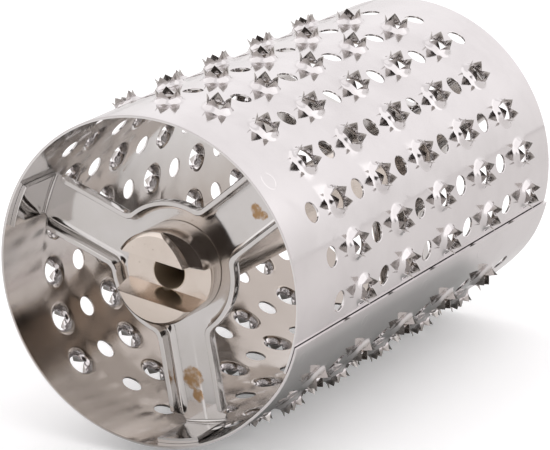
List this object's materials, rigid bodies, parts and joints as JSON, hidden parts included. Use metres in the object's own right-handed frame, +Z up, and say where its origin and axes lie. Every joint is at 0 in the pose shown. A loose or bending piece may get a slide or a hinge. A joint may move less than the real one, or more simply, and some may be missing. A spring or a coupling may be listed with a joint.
{
  "type": "rotary grater drum",
  "caption": "Perforated steel grater drum with star burrs outside, a three-arm spider in each end and a slotted drive hub on its axis.",
  "frame": {"origin": "on the drum's axis, in the plane of the rim at the drive end", "axes": "+Y along the drum's axis from the drive end to the rear end, +Z up with the drum lying on its side, +X to the right seen from the drive end"},
  "size_m": [0.0864, 0.135, 0.0864],
  "materials": {
    "sheet": "polished stainless sheet",
    "pressing": "polished stainless pressing with heat tint",
    "turned": "turned and milled, warm nickel tint"
  },
  "bodies": {
    "root": {"drum_sheet": "sheet", "front_spider": "pressing", "rear_spider": "pressing", "drive_hub": "turned", "shaft_sleeve": "turned", "rear_bush": "turned"}
  },
  "joints": []
}
